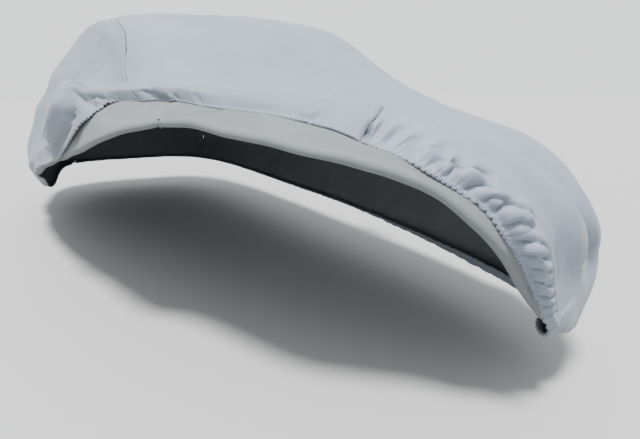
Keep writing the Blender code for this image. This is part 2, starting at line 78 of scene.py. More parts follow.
# %% The peeled corner, station by station
PEEL_COLUMNS = ("around", "fold_level", "ridge_around", "ridge_level",
                "hem_around", "hem_level", "open", "lift", "bow")
PEEL = (
    (-3.20, 1.90, -3.20, 1.10, -3.20, 0.00, 0.0, 0.00, 0.00),
    (-2.00, 1.90, -2.00, 1.10, -2.00, 0.00, 0.0, 0.00, 0.00),
    (-1.93, 1.80, -1.93, 1.10, -1.93, 0.10, 0.1, 0.05, 0.00),
    (-1.86, 1.62, -1.86, 1.25, -1.86, 0.45, 0.5, 0.20, 0.00),
    (-1.80, 1.50, -1.80, 1.52, -1.80, 0.85, 0.9, 0.42, 0.00),
    (-1.74, 1.53, -1.755, 1.85, -1.74, 1.28, 1.0, 0.65, 0.00),
    (-1.68, 1.72, -1.70, 2.15, -1.63, 1.75, 1.0, 0.90, 0.00),
    (-1.62, 1.89, -1.65, 2.43, -1.50, 2.20, 1.0, 1.15, 0.00),
    (-1.56, 1.97, -1.59, 2.69, -1.42, 2.52, 1.0, 1.40, 0.00),
    (-1.50, 2.26, -1.545, 2.97, -1.375, 2.83, 1.0, 1.55, 0.00),
    (-1.45, 2.59, -1.51, 3.24, -1.34, 3.16, 1.0, 1.60, 0.00),
    (-1.40, 2.90, -1.48, 3.50, -1.30, 3.47, 1.0, 1.60, 0.00),
    (-1.35, 3.15, -1.45, 3.78, -1.265, 3.74, 1.0, 1.55, 0.00),
    (-1.31, 3.33, -1.42, 4.05, -1.238, 3.98, 1.0, 1.45, 0.00),
    (-1.27, 3.50, -1.38, 4.38, -1.204, 4.27, 1.0, 1.28, 0.00),
    (-1.235, 3.66, -1.325, 4.80, -1.178, 4.61, 1.0, 1.12, 0.00),
    (-1.20, 3.82, -1.203, 5.18, -1.122, 5.11, 1.0, 1.00, 0.00),
    (-1.165, 4.01, -1.095, 5.59, -1.05, 5.37, 1.0, 1.00, 0.02),
    (-1.13, 4.22, -0.99, 5.72, -0.95, 5.43, 1.0, 1.00, 0.05),
    (-1.06, 4.76, -0.72, 5.43, -0.76, 5.09, 1.0, 1.00, 0.16),
    (-1.03, 4.93, -0.43, 5.03, -0.56, 4.75, 1.0, 1.00, 0.28),
    (-1.00, 5.03, -0.10, 4.62, -0.37, 4.18, 1.0, 1.00, 0.16),
    (-0.92, 4.97, -0.06, 4.56, -0.36, 4.15, 1.0, 1.00, 0.15),
    (-0.83, 4.71, -0.03, 4.51, -0.35, 4.12, 1.0, 1.00, 0.12),
    (-0.65, 4.21, 0.00, 4.29, -0.31, 4.02, 1.0, 1.00, 0.06),
    (-0.50, 4.02, 0.02, 4.16, -0.25, 3.90, 1.0, 1.00, 0.03),
    (-0.31, 3.76, 0.045, 3.95, -0.17, 3.69, 1.0, 1.00, 0.00),
    (-0.16, 3.51, 0.085, 3.75, -0.10, 3.51, 1.0, 1.00, 0.00),
    (-0.02, 3.06, 0.16, 3.39, 0.01, 3.20, 1.0, 1.00, 0.00),
    (0.04, 2.86, 0.21, 3.18, 0.05, 2.98, 1.0, 1.00, 0.00),
    (0.13, 2.55, 0.245, 2.78, 0.12, 2.71, 1.0, 1.00, 0.00),
    (0.24, 2.08, 0.315, 2.33, 0.22, 2.30, 1.0, 0.90, 0.00),
    (0.31, 1.75, 0.36, 1.97, 0.295, 1.88, 1.0, 0.80, 0.00),
    (0.38, 1.50, 0.405, 1.70, 0.36, 1.54, 1.0, 0.62, 0.00),
    (0.44, 1.42, 0.45, 1.54, 0.43, 1.27, 1.0, 0.45, 0.00),
    (0.50, 1.43, 0.50, 1.40, 0.50, 0.95, 0.8, 0.28, 0.00),
    (0.58, 1.58, 0.58, 1.25, 0.58, 0.55, 0.4, 0.12, 0.00),
    (0.70, 1.80, 0.70, 1.10, 0.70, 0.00, 0.0, 0.00, 0.00),
    (3.20, 1.90, 3.20, 1.10, 3.20, 0.00, 0.0, 0.00, 0.00),
)
BAND_LIFT, FLAP_LIFT = 0.030, 0.034

# %% Big folds and puffs
FOLDS = {
    "rear_lobe": (-1.83, 3.30, -1.82, 1.00, 0.160, 0.077),
    "corner_lobe": (0.96, 1.60, 0.98, 0.90, 0.140, 0.016),
    "mirror_right": (-1.31, 4.55, -1.29, 4.50, 0.140, 0.055),
    "mirror_left": (1.31, 4.60, 1.29, 4.55, 0.120, 0.080),
    "valley_right": (-1.46, 4.50, -1.72, 2.20, 0.090, -0.035),
    "corner_ridge": (1.10, 4.30, 1.09, 1.80, 0.060, 0.030),
    "corner_valley": (1.00, 4.45, 1.03, 2.00, 0.030, -0.018),
    "corner_soft_a": (0.60, 4.20, 0.72, 2.60, 0.040, -0.012),
    "corner_soft_b": (0.66, 2.80, 0.76, 2.00, 0.035, -0.012),
}
PUFFS = (
    (-1.24, 0.35, 0.050, 0.30, 0.014),
    (-1.14, 0.30, 0.030, 0.30, 0.012),
    (-1.085, 0.40, 0.022, 0.35, 0.012),
    (-1.045, 0.35, 0.014, 0.30, 0.010),
    (-1.015, 0.30, 0.010, 0.30, 0.010),
    (-0.93, 0.30, 0.045, 0.35, 0.010),
    (-0.76, 0.30, 0.050, 0.35, 0.013),
    (-0.58, 0.35, 0.050, 0.35, 0.014),
    (-0.42, 0.40, 0.050, 0.40, 0.018),
    (-0.28, 0.30, 0.040, 0.35, 0.016),
    (-0.16, 0.40, 0.040, 0.40, 0.020),
    (-0.05, 0.35, 0.035, 0.35, 0.020),
    (0.03, 0.50, 0.030, 0.45, 0.026),
    (0.115, 0.40, 0.030, 0.40, 0.020),
    (0.19, 0.50, 0.025, 0.45, 0.024),
    (0.265, 0.40, 0.022, 0.45, 0.018),
    (0.33, 0.40, 0.020, 0.45, 0.016),
)

# %% Smooth curves through tables
def column_of(table, columns, name):
    rows = table.values() if isinstance(table, dict) else table
    return np.array([row[columns.index(name)] for row in rows], dtype=float)


SEC = {name: column_of(SECTIONS, SECTION_COLUMNS, name) for name in SECTION_COLUMNS}
PEEL_AT = {name: column_of(PEEL, PEEL_COLUMNS, name) for name in PEEL_COLUMNS}


def ease(t):
    t = np.clip(t, 0.0, 1.0)
    return t * t * (3.0 - 2.0 * t)


def through(x, xs, ys):
    """Smooth curve through the points (xs, ys), kept from overshooting."""
    x = np.clip(np.asarray(x, dtype=float), xs[0], xs[-1])
    step = np.diff(xs)
    slope = np.diff(ys) / step
    tangent = np.zeros(len(xs))
    inner = slope[:-1] * slope[1:] > 0.0
    mean = 2.0 * slope[:-1] * slope[1:] / np.where(inner, slope[:-1] + slope[1:], 1.0)
    tangent[1:-1] = np.where(inner, mean, 0.0)
    tangent[0] = slope[0]
    tangent[-1] = slope[-1]
    i = np.clip(np.searchsorted(xs, x, side="right") - 1, 0, len(step) - 1)
    h = step[i]
    t = (x - xs[i]) / h
    return ((2 * t**3 - 3 * t**2 + 1) * ys[i] + (t**3 - 2 * t**2 + t) * h * tangent[i]
            + (3 * t**2 - 2 * t**3) * ys[i + 1] + (t**3 - t**2) * h * tangent[i + 1])


# %% Points on the draped body
def loop_points(around, k):
    """Points of level loop k at the places around it."""
    side = np.where(around < 0.0, -1.0, 1.0)
    place = np.abs(around)
    half = SEC["half"][k]
    power = SEC["square"][k]
    middle = (SEC["y_front"][k] + SEC["y_rear"][k]) / 2.0
    length = (SEC["y_rear"][k] - SEC["y_front"][k]) / 2.0
    x_seam = SEC["seam"][k] * half
    y_seam = length * (1.0 - SEC["seam"][k] ** power) ** (1.0 / power)
    front = place <= 1.0
    rear = place > 2.0
    across = np.where(front, place, np.where(rear, 3.0 - place, 0.0))
    along = y_seam * (2.0 * np.clip(place - 1.0, 0.0, 1.0) - 1.0)
    x_end = across * x_seam
    y_end = length * (1.0 - np.abs(x_end / half) ** power) ** (1.0 / power)
    x_side = half * (1.0 - np.abs(along / length) ** power) ** (1.0 / power)
    x = np.where(front | rear, x_end, x_side)
    y = middle + np.where(front, -y_end, np.where(rear, y_end, along))
    t = np.clip(place - 1.0, 0.0, 1.0)
    z_front = SEC["z_front"][k] + (SEC["z_corner"][k] - SEC["z_front"][k]) * np.abs(across) ** 2.5
    z_rear = SEC["z_rear"][k] + (SEC["z_rear_corner"][k] - SEC["z_rear"][k]) * np.abs(across) ** 2.5
    z_a = SEC["z_corner"][k] + (SEC["z_side"][k] - SEC["z_corner"][k]) * ease(2.0 * t)
    z_b = (SEC["z_rear_corner"][k] - SEC["z_side"][k]) * ease(2.0 * t - 1.0)
    z = np.where(front, z_front, np.where(rear, z_rear, z_a + z_b))
    slack = np.where(side > 0, SEC["left"][k] * ease(x / half), 0.0)
    return np.stack([x * side + slack, y, z], axis=-1)


def drape(around, level):
    """Points of the plain draped body at arrays of places (around, level)."""
    around, level = np.broadcast_arrays(np.asarray(around, float), np.asarray(level, float))
    level = np.clip(level, 0.0, TOP - 1e-9)
    low = np.floor(level).astype(int)
    t = (level - low)[..., None]
    loops = np.stack([loop_points(around, k) for k in range(TOP + 1)])

    def at(k):
        inside = np.clip(k, 0, TOP)
        return np.take_along_axis(loops, inside[None, ..., None], axis=0)[0]

    p1, p2 = at(low), at(low + 1)
    p0 = np.where((low > 0)[..., None], at(low - 1), 2.0 * p1 - p2)
    p3 = np.where((low + 2 <= TOP)[..., None], at(low + 2), 2.0 * p2 - p1)
    return 0.5 * (2 * p1 + (p2 - p0) * t + (2 * p0 - 5 * p1 + 4 * p2 - p3) * t**2
                  + (3 * p1 - p0 - 3 * p2 + p3) * t**3)


def outward(around, level):
    """Unit normals of the plain draped body."""
    around, level = np.broadcast_arrays(np.asarray(around, float), np.asarray(level, float))
    step = 0.01
    level = np.clip(level, step, TOP - 2 * step)
    along = drape(around + step, level) - drape(around - step, level)
    up = drape(around, level + step) - drape(around, level - step)
    normal = np.cross(along, up)
    length = np.linalg.norm(normal, axis=-1, keepdims=True)
    return normal / np.maximum(length, 1e-12)


def fold_height(points):
    """How far the big folds and bulges stand out of the draped body."""
    height = np.zeros(points.shape[:-1])
    for a_around, a_level, b_around, b_level, width, rise in FOLDS.values():
        ends = drape([a_around, b_around], [a_level, b_level])
        run = ends[1] - ends[0]
        share = ((points - ends[0]) @ run) / max(float(run @ run), 1e-9)
        near = ends[0] + np.clip(share, 0.0, 1.0)[..., None] * run
        away = np.linalg.norm(points - near, axis=-1)
        height += rise * np.exp(-((away / width) ** 2))
    return height


def cloth_at(around, level, lift):
    """Points of the cloth: the draped body with its big folds, raised by lift."""
    body = drape(around, level)
    rise = (fold_height(body) + lift)[..., None]
    return body + outward(around, level) * rise


# %% [markdown]
# ## Folding the corner back
# The peeled corner is one back-and-forth section of cloth: up the body to the lower fold, back as
# a band with its inside showing, over a ridge, and back again as the flap with the hem. Each
# column of the mesh runs through all of these rows in turn, so the sheet stays in one piece and
# the layers keep a finger's width of air between them.

# %% Rows of the folded skirt
HEM_ROWS, FLAP_ROWS, TURN_ROWS, BAND_ROWS, MAIN_ROWS = 6, 24, 6, 20, 46
TURNED_ROWS = FLAP_ROWS + BAND_ROWS + 2 + 2 * TURN_ROWS


def peel_place(around):
    at = {name: through(around, PEEL_AT["around"], PEEL_AT[name]) for name in PEEL_COLUMNS[1:]}
    at["around"] = around
    return at


def puff_height(around, share):
    height = np.zeros(np.broadcast(around, share).shape)
    for place, at, half_length, half_width, rise in PUFFS:
        wave = np.exp(-((around - place) / half_length) ** 2 - ((share - at) / half_width) ** 2)
        height += rise * wave
    return height


def between(start, end, share):
    """Places between two places around the cover, even in length round its front corners."""
    def stretched(place):
        return place + 4.0 * np.sign(place) * np.maximum(np.abs(place) - 1.0, 0.0)

    mixed = stretched(start) + (stretched(end) - stretched(start)) * share
    return mixed - 0.8 * np.sign(mixed) * np.maximum(np.abs(mixed) - 1.0, 0.0)


def fold_line_at(around):
    at = peel_place(around)
    return (cloth_at(around, at["fold_level"], 0.0),
            cloth_at(at["ridge_around"], at["ridge_level"], 0.0))


def turned_edge(line, along, normal, inward, lift_from, lift_to, turns):
    """Rows of a turned edge: half a circle, away from inward, from one lift to the other."""
    out = np.cross(along, normal)
    out /= np.maximum(np.linalg.norm(out, axis=-1, keepdims=True), 1e-9)
    sign = np.sign(np.sum(out * inward, axis=-1, keepdims=True))
    out = -out * np.where(sign == 0.0, 1.0, sign)
    radius = ((lift_to - lift_from) / 2.0)[:, None]
    middle = ((lift_to + lift_from) / 2.0)[:, None]
    return [line + normal * (middle - radius * math.cos(math.pi * turn))
            + out * np.abs(radius) * math.sin(math.pi * turn) for turn in turns]


def flap_rows(at, band, flap):
    """Rows of the flap, from its puffed elastic hem to the ridge."""
    rows = []
    for share in np.linspace(0.0, 1.0, FLAP_ROWS + 1):
        place = between(at["hem_around"], at["ridge_around"], share)
        level = at["hem_level"] + (at["ridge_level"] - at["hem_level"]) * share
        close = 0.20 + 0.80 * ease(share * 2.5)
        puff = puff_height(at["around"], share) * at["lift"] * (1.0 - share**3)
        puff = puff * (0.25 + 0.75 * ease(share * 5.0))
        rows.append(cloth_at(place, level, band + flap * close + puff))
    return rows


def band_rows(at, band):
    """Rows of the band, from the ridge down to the lower fold."""
    rows = []
    for share in np.linspace(0.0, 1.0, BAND_ROWS + 1):
        place = between(at["ridge_around"], at["around"], share)
        level = at["ridge_level"] + (at["fold_level"] - at["ridge_level"]) * share
        level = level + at["bow"] * 4.0 * share * (1.0 - share)
        rows.append(cloth_at(place, level, band))
    return rows


def folded_rows(around):
    """Rows of the cloth as it lies folded: flap, ridge, band and lower fold."""
    at = peel_place(around)
    band = BAND_LIFT * at["lift"]
    flap = FLAP_LIFT * at["lift"]
    fold_line, ridge_line = fold_line_at(around)
    step = 0.003
    fold_ahead, ridge_ahead = fold_line_at(around + step)
    fold_behind, ridge_behind = fold_line_at(around - step)
    to_main = cloth_at(around, at["fold_level"] + 0.3, 0.0) - fold_line
    fold_normal = outward(around, at["fold_level"])
    ridge_normal = outward(at["ridge_around"], at["ridge_level"])
    turns = [(k + 0.5) / TURN_ROWS for k in range(TURN_ROWS)]
    ridge = turned_edge(ridge_line, ridge_ahead - ridge_behind, ridge_normal,
                        fold_line - ridge_line, band + flap, band, turns)
    fold = turned_edge(fold_line, fold_ahead - fold_behind, fold_normal,
                       to_main, band, np.zeros_like(band), turns)
    return flap_rows(at, band, flap) + ridge + band_rows(at, band) + fold


def skirt(around):
    """Rows of points from the hem up to the edge of the roof, a point for each column."""
    at = peel_place(around)
    folded = folded_rows(around)
    rows = []
    for k, points in enumerate(folded):
        plain = cloth_at(around, at["fold_level"] * k / len(folded), 0.0)
        rows.append(plain + (points - plain) * at["open"][:, None])
    for share in np.linspace(0.0, 1.0, MAIN_ROWS + 1):
        level = at["fold_level"] + (TOP - at["fold_level"]) * share
        rows.append(cloth_at(around, level, 0.0))
    return np.array(rows)


def row_places():
    """The place v of each row (0-1 flap, 1-2 band, 2-3 body) and which way its face looks."""
    turn = [(k + 0.5) / TURN_ROWS for k in range(TURN_ROWS)]
    place = list(np.linspace(0.0, 1.0, FLAP_ROWS + 1)) + [1.0] * TURN_ROWS
    place += list(np.linspace(1.0, 2.0, BAND_ROWS + 1)) + [2.0] * TURN_ROWS
    place += list(np.linspace(2.0, 3.0, MAIN_ROWS + 1))
    facing = [1.0] * (FLAP_ROWS + 1) + [math.cos(math.pi * t) for t in turn]
    facing += [-1.0] * (BAND_ROWS + 1) + [-math.cos(math.pi * t) for t in turn]
    facing += [1.0] * (MAIN_ROWS + 1)
    return np.array(place), np.array(facing)


ROW_PLACE, ROW_FACING = row_places()
print("skirt rows", len(ROW_PLACE))

# %% [markdown]
# ## Columns
# Gathers need many columns, plain cloth needs few. The columns stand close where the flap is
# gathered and beside each seam, where the cloth puckers. Above the folded rows only some of them
# go on, so the mesh stays light. The hem's own length, measured round the whole cover, places the
# gathers later, so that they run on from one panel to the next.

# %% Column places
FRONT_COLUMNS, SIDE_COLUMNS, LEFT_COLUMNS = 390, 390, 230
PLAIN_STEP = 0.026
SEAM_STEPS = (0.0015, 0.0035, 0.006, 0.010, 0.015)
CLOSE_PLACES = (-2.0, -1.75, -1.36, -1.24, -1.0, -0.42, -0.30, 0.38, 0.50, 1.0, 2.0)
CLOSE_SHARES = (1.4, 1.0, 1.4, 3.0, 3.0, 1.6, 4.5, 4.5, 1.4, 1.0, 1.0)


def line_length(fine):
    """Length along the skirt at the places, the mean of four of its lines."""
    rows = skirt(fine)[[0, FLAP_ROWS, TURNED_ROWS, -1]]
    step = np.linalg.norm(np.diff(rows, axis=1), axis=-1).mean(axis=0)
    return np.concatenate([[0.0], np.cumsum(step)])


def close_columns(start, end, count):
    """Places from start to end, closer beside both ends and where the flap is gathered."""
    fine = np.linspace(start, end, 900)
    share = np.interp(0.5 * (fine[1:] + fine[:-1]), CLOSE_PLACES, CLOSE_SHARES)
    weight = np.concatenate([[0.0], np.cumsum(np.diff(line_length(fine)) * share)])
    even = np.interp(np.linspace(0.0, weight[-1], count + 1), weight, fine)
    way = math.copysign(1.0, end - start)
    near = [start + way * s for s in SEAM_STEPS] + [end - way * s for s in SEAM_STEPS]
    inner = [p for p in even[1:-1] if min(abs(p - start), abs(p - end)) > SEAM_STEPS[-1] * 1.3]
    return np.array(sorted([start, *near, *inner, end], key=lambda p: way * p))


def plain_columns(places):
    """Which columns go on above the folded rows: all beside the seams, and few between."""
    length = line_length(places)
    ends = len(SEAM_STEPS)
    kept = list(range(ends + 1))
    for k in range(ends + 1, len(places) - ends - 1):
        if length[k] - length[kept[-1]] > PLAIN_STEP:
            kept.append(k)
    return np.array(kept + list(range(len(places) - ends - 1, len(places))))


HEM_PLACES = np.concatenate([np.linspace(-3.0, -2.0, 120)[:-1], np.linspace(-2.0, -1.0, 500)[:-1],
                             np.linspace(-1.0, 1.0, 700)[:-1], np.linspace(1.0, 2.0, 300)[:-1],
                             np.linspace(2.0, 3.0, 120)])
hem_peel = peel_place(HEM_PLACES)
hem_line = flap_rows(hem_peel, BAND_LIFT * hem_peel["lift"], FLAP_LIFT * hem_peel["lift"])[0]
hem_steps = np.linalg.norm(np.diff(hem_line, axis=0), axis=-1)
HEM_LENGTH = np.concatenate([[0.0], np.cumsum(hem_steps)])
print("hem length", round(float(HEM_LENGTH[-1]), 2), "m")


def hem_run(around):
    """Length along the hem, in metres, at the places around."""
    return np.interp(around, HEM_PLACES, HEM_LENGTH)


# %% [markdown]
# ## Creases placed one by one
# Cloth creases where it is pushed together or pulled. Each crease here is a short line through
# places read on the folded sheet, with a height, a width and a sharpness: soft ones are rounded
# ridges or troughs, sharp ones have a narrow bottom. The list is uneven on purpose, as it is on
# the real cover. Noise alone would give an even crumple that no hand has made.

# %% The crease list
# height, width and sharpness, then the line as (place around, place v of the row)
CREASES = (
    # flap, left end beside the mirror
    (-0.022, 0.017, 0.8, ((-1.23, 0.74), (-1.214, 0.72), (-1.203, 0.5))),
    (-0.024, 0.017, 0.8, ((-1.24, 0.38), (-1.236, 0.25), (-1.204, 0.23), (-1.185, 0.08))),
    (-0.02, 0.013, 0.8, ((-1.238, 0.26), (-1.23, 0.14), (-1.226, 0.03))),
    (0.018, 0.028, 0.0, ((-1.236, 0.54), (-1.215, 0.5), (-1.19, 0.36), (-1.165, 0.2))),
    (0.014, 0.024, 0.0, ((-1.222, 0.18), (-1.205, 0.14), (-1.188, 0.05))),
    (-0.034, 0.022, 0.6, ((-1.25, 0.27), (-1.28, 0.19), (-1.31, 0.16), (-1.343, 0.13),
                          (-1.375, 0.12), (-1.421, 0.15), (-1.465, 0.15), (-1.52, 0.08))),
    (0.024, 0.036, 0.0, ((-1.246, 0.44), (-1.28, 0.38), (-1.32, 0.34), (-1.38, 0.32),
                         (-1.45, 0.34))),
    (-0.05, 0.03, 0.4, ((-1.246, 0.82), (-1.29, 0.8), (-1.35, 0.77), (-1.42, 0.74), (-1.5, 0.7))),
    (-0.014, 0.014, 0.9, ((-1.134, 0.3), (-1.127, 0.16), (-1.118, 0.06), (-1.106, 0.07))),
    (0.01, 0.022, 0.0, ((-1.118, 0.45), (-1.11, 0.28), (-1.1, 0.12))),
    (-0.007, 0.012, 0.7, ((-1.098, 0.02), (-1.1, 0.15), (-1.104, 0.26))),
    (-0.006, 0.012, 0.7, ((-1.075, 0.02), (-1.076, 0.14), (-1.08, 0.26))),
    # flap, middle
    (-0.01, 0.016, 0.6, ((-1.026, 0.02), (-1.025, 0.2), (-1.021, 0.4), (-1.019, 0.55))),
    (-0.012, 0.015, 0.7, ((-1.021, 0.0), (-1.019, 0.2), (-1.018, 0.45), (-1.017, 0.62))),
    (0.009, 0.02, 0.0, ((-1.024, 0.05), (-1.022, 0.3), (-1.019, 0.5))),
    (-0.007, 0.014, 0.6, ((-0.96, 0.02), (-0.95, 0.22), (-0.93, 0.42))),
    (-0.008, 0.016, 0.6, ((-0.86, 0.02), (-0.85, 0.2), (-0.82, 0.34))),
    (-0.008, 0.015, 0.6, ((-0.69, 0.04), (-0.684, 0.25), (-0.69, 0.45), (-0.67, 0.65))),
    (-0.009, 0.016, 0.6, ((-0.575, 0.03), (-0.57, 0.2), (-0.54, 0.38))),
    (-0.01, 0.016, 0.6, ((-0.46, 0.02), (-0.452, 0.18), (-0.41, 0.32), (-0.37, 0.4))),
    # flap, towards the right pivot, the deep gathers
    (-0.016, 0.012, 0.9, ((-0.346, 0.06), (-0.33, 0.25), (-0.262, 0.31), (-0.206, 0.36))),
    (0.006, 0.021, 0.0, ((-0.29, 0.1), (-0.25, 0.22), (-0.19, 0.26))),
    (-0.019, 0.012, 0.9, ((-0.236, 0.06), (-0.218, 0.32), (-0.165, 0.45), (-0.113, 0.74),
                          (-0.077, 0.86))),
    (0.006, 0.023, 0.0, ((-0.19, 0.16), (-0.15, 0.34), (-0.1, 0.5))),
    (-0.018, 0.011, 0.9, ((-0.125, 0.05), (-0.105, 0.25), (-0.085, 0.38), (-0.055, 0.36))),
    (0.006, 0.02, 0.0, ((-0.092, 0.1), (-0.07, 0.22), (-0.045, 0.26))),
    (-0.018, 0.011, 0.9, ((-0.056, 0.03), (-0.053, 0.2), (-0.029, 0.31), (-0.006, 0.36))),
    (0.009, 0.025, 0.0, ((-0.036, 0.1), (-0.022, 0.34), (0.006, 0.58), (0.04, 0.78))),
    (-0.022, 0.011, 0.9, ((-0.016, 0.04), (-0.013, 0.25), (-0.005, 0.4), (0.015, 0.5),
                          (0.043, 0.68), (0.067, 0.8))),
    (0.007, 0.023, 0.0, ((0.008, 0.1), (0.02, 0.28), (0.044, 0.5), (0.074, 0.66))),
    (-0.02, 0.011, 0.9, ((0.035, 0.03), (0.036, 0.25), (0.051, 0.42), (0.078, 0.54))),
    (0.009, 0.023, 0.0, ((0.058, 0.12), (0.07, 0.34), (0.1, 0.56), (0.126, 0.7))),
    (-0.021, 0.011, 0.9, ((0.082, 0.03), (0.091, 0.3), (0.107, 0.56), (0.139, 0.84))),
    (0.007, 0.022, 0.0, ((0.108, 0.12), (0.118, 0.34), (0.142, 0.6))),
    (-0.021, 0.011, 0.9, ((0.136, 0.03), (0.133, 0.25), (0.143, 0.56), (0.171, 0.9))),
    (0.007, 0.021, 0.0, ((0.16, 0.1), (0.162, 0.4), (0.186, 0.74))),
    (-0.022, 0.011, 0.9, ((0.192, 0.03), (0.184, 0.25), (0.19, 0.5), (0.218, 0.92))),
    (0.007, 0.021, 0.0, ((0.214, 0.1), (0.216, 0.4), (0.24, 0.78))),
    (-0.02, 0.011, 0.9, ((0.252, 0.03), (0.248, 0.3), (0.262, 0.6), (0.276, 0.88))),
    (0.006, 0.018, 0.0, ((0.276, 0.1), (0.282, 0.45), (0.294, 0.8))),
    (-0.016, 0.01, 0.9, ((0.306, 0.03), (0.31, 0.25), (0.322, 0.62), (0.33, 0.9))),
    (-0.012, 0.009, 0.9, ((0.348, 0.03), (0.352, 0.35), (0.362, 0.8))),
    (-0.01, 0.009, 0.9, ((0.386, 0.03), (0.39, 0.35), (0.396, 0.8))),
    # band, the pale inside
    (-0.007, 0.02, 0.3, ((-1.03, 1.86), (-0.9, 1.9), (-0.782, 1.92), (-0.614, 1.91),
                          (-0.43, 1.88), (-0.25, 1.84), (-0.12, 1.78))),
    (0.005, 0.045, 0.0, ((-1.16, 1.3), (-1.074, 1.62), (-1.027, 1.8))),
    (-0.004, 0.03, 0.2, ((-0.42, 1.4), (-0.26, 1.52), (-0.12, 1.6))),
    (-0.004, 0.025, 0.3, ((-1.2, 1.55), (-1.24, 1.7), (-1.33, 1.8))),
    (0.005, 0.035, 0.0, ((-0.06, 1.35), (0.06, 1.5), (0.14, 1.6))),
    # body, right side above the flap
    (-0.01, 0.05, 0.1, ((-1.3, 2.62), (-1.126, 2.47), (-1.055, 2.36))),
    (0.007, 0.045, 0.0, ((-1.18, 2.66), (-1.07, 2.5), (-1.03, 2.38))),
    (-0.008, 0.06, 0.0, ((-1.7, 2.6), (-1.6, 2.45), (-1.48, 2.3))),
    (0.008, 0.07, 0.0, ((-1.82, 2.7), (-1.74, 2.5), (-1.64, 2.36))),
    # body, bonnet beside the ridge
    (-0.006, 0.03, 0.2, ((-0.2, 2.16), (-0.06, 2.19), (0.08, 2.2), (0.2, 2.22))),
    (-0.012, 0.03, 0.3, ((0.25, 2.3), (0.38, 2.26), (0.44, 2.2), (0.47, 2.1))),
    (0.01, 0.04, 0.0, ((0.33, 2.34), (0.46, 2.28), (0.53, 2.18))),
    # body, front left corner: the long dark fold and its soft neighbours
    (-0.046, 0.034, 0.5, ((0.6, 2.33), (0.635, 2.26), (0.664, 2.2), (0.7, 2.12),
                          (0.735, 2.05), (0.76, 2.0))),
    (0.012, 0.05, 0.0, ((0.54, 2.3), (0.58, 2.22), (0.62, 2.13), (0.66, 2.04))),
    (0.01, 0.045, 0.0, ((0.72, 2.32), (0.76, 2.24), (0.8, 2.14), (0.83, 2.04))),
    (-0.014, 0.04, 0.3, ((0.9, 2.32), (0.92, 2.2), (0.95, 2.08))),
    (-0.012, 0.026, 0.4, ((0.48, 2.26), (0.507, 2.19), (0.535, 2.12), (0.56, 2.05))),
    (-0.014, 0.02, 0.5, ((0.395, 2.3), (0.423, 2.22), (0.45, 2.14))),
    (-0.02, 0.014, 0.8, ((0.948, 2.75), (0.946, 2.68), (0.944, 2.62), (0.935, 2.56), (0.9, 2.51))),
    (0.014, 0.026, 0.0, ((0.985, 2.74), (0.985, 2.66), (0.98, 2.58), (0.96, 2.52))),
    # left side
    (-0.012, 0.06, 0.1, ((1.18, 2.34), (1.3, 2.22), (1.42, 2.08))),
    (0.01, 0.07, 0.0, ((1.26, 2.36), (1.4, 2.24), (1.52, 2.1))),
    (-0.01, 0.06, 0.1, ((1.56, 2.34), (1.66, 2.2), (1.74, 2.06))),
    (-0.012, 0.05, 0.2, ((1.84, 2.4), (1.87, 2.24), (1.9, 2.08))),
    (0.012, 0.06, 0.0, ((1.9, 2.42), (1.93, 2.26), (1.96, 2.1))),
)
print("creases", len(CREASES))


# %% Crease heights on a panel
def grid_point(points, places, row_place, facing, place, v):
    """The point of a panel's grid at a place and row value, on the layer that v names."""
    layer = 0.0 if v < 1.0 else (1.0 if v < 2.0 else 2.0)
    usable = np.flatnonzero((row_place >= layer) & (row_place <= layer + 1.0)
                            & (np.abs(facing) > 0.999))
    row = np.interp(v, row_place[usable], usable)
    low = int(min(math.floor(row), len(row_place) - 2))
    order = np.argsort(places)
    col = np.array([np.interp(place, places[order], points[k][order][:, i])
                    for k in (low, low + 1) for i in range(3)]).reshape(2, 3)
    return col[0] + (col[1] - col[0]) * (row - low)


def crease_profile(away, width, sharp):
    soft = np.exp(-((away / width) ** 2))
    keen = np.exp(-away / (0.55 * width))
    return soft * (1.0 - sharp) + keen * sharp


def crease_height(points, places, row_place, facing):
    """Sum of all creases at the points of a panel, measured away from the body."""
    height = np.zeros(points.shape[:-1])
    low, high = places.min(), places.max()
    for rise, width, sharp, line in CREASES:
        if max(p for p, _ in line) < low - 0.15 or min(p for p, _ in line) > high + 0.15:
            continue
        v_mean = sum(v for _, v in line) / len(line)
        layer = math.floor(min(v_mean, 2.999))
        rows = np.flatnonzero((row_place >= layer) & (row_place <= layer + 1.0))
        knots = np.array([grid_point(points, places, row_place, facing, np.clip(p, low, high), v)
                          for p, v in line])
        lengths = np.linalg.norm(np.diff(knots, axis=0), axis=-1)
        done = np.concatenate([[0.0], np.cumsum(lengths)]) / max(lengths.sum(), 1e-9)
        best = np.full((len(rows), points.shape[1]), 1e9)
        share = np.zeros_like(best)
        for k in range(len(knots) - 1):
            run = knots[k + 1] - knots[k]
            if float(run @ run) < 1e-12:
                continue
            t = np.clip(((points[rows] - knots[k]) @ run) / float(run @ run), 0.0, 1.0)
            away = np.linalg.norm(points[rows] - (knots[k] + t[..., None] * run), axis=-1)
            closer = away < best
            best = np.where(closer, away, best)
            share = np.where(closer, done[k] + (done[k + 1] - done[k]) * t, share)
        fade = ease(np.minimum(share, 1.0 - share) / 0.22 + 0.15)
        height[rows] += rise * fade * crease_profile(best, width, sharp)
    return height


# %% [markdown]
# ## Gathers along the elastic hem
# Elastic in the hem draws the edge together, so the cloth above it puffs out between narrow
# pleats. The pleats are close to the hem and merge further up. Their spacing wanders, and the
# table says how deep they are and how far they reach at each place round the cover.

